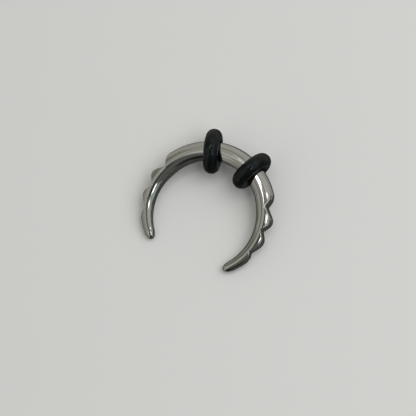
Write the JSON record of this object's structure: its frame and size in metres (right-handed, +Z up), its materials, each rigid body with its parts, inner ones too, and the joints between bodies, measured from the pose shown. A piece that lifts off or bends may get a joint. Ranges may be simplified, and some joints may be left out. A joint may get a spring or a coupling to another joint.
{
  "type": "septum pincher",
  "caption": "Open crescent of round steel bar with notched, tapering arms, worn through the septum and held by black rubber rings.",
  "frame": {"origin": "middle of the bounding box on the table that the part rests on", "axes": "+X across the crescent to its right arm, +Y from the tips to the middle of the bar, +Z up from the table"},
  "size_m": [0.0166, 0.0152, 0.0055],
  "materials": {
    "steel": "hand-polished steel with fine draw lines along the bar, brighter on the filed edges",
    "rubber": "smooth black rubber with a soft sheen"
  },
  "bodies": {
    "root": {"pincher": "steel", "o_ring_left": "rubber", "o_ring_right": "rubber"}
  },
  "joints": []
}
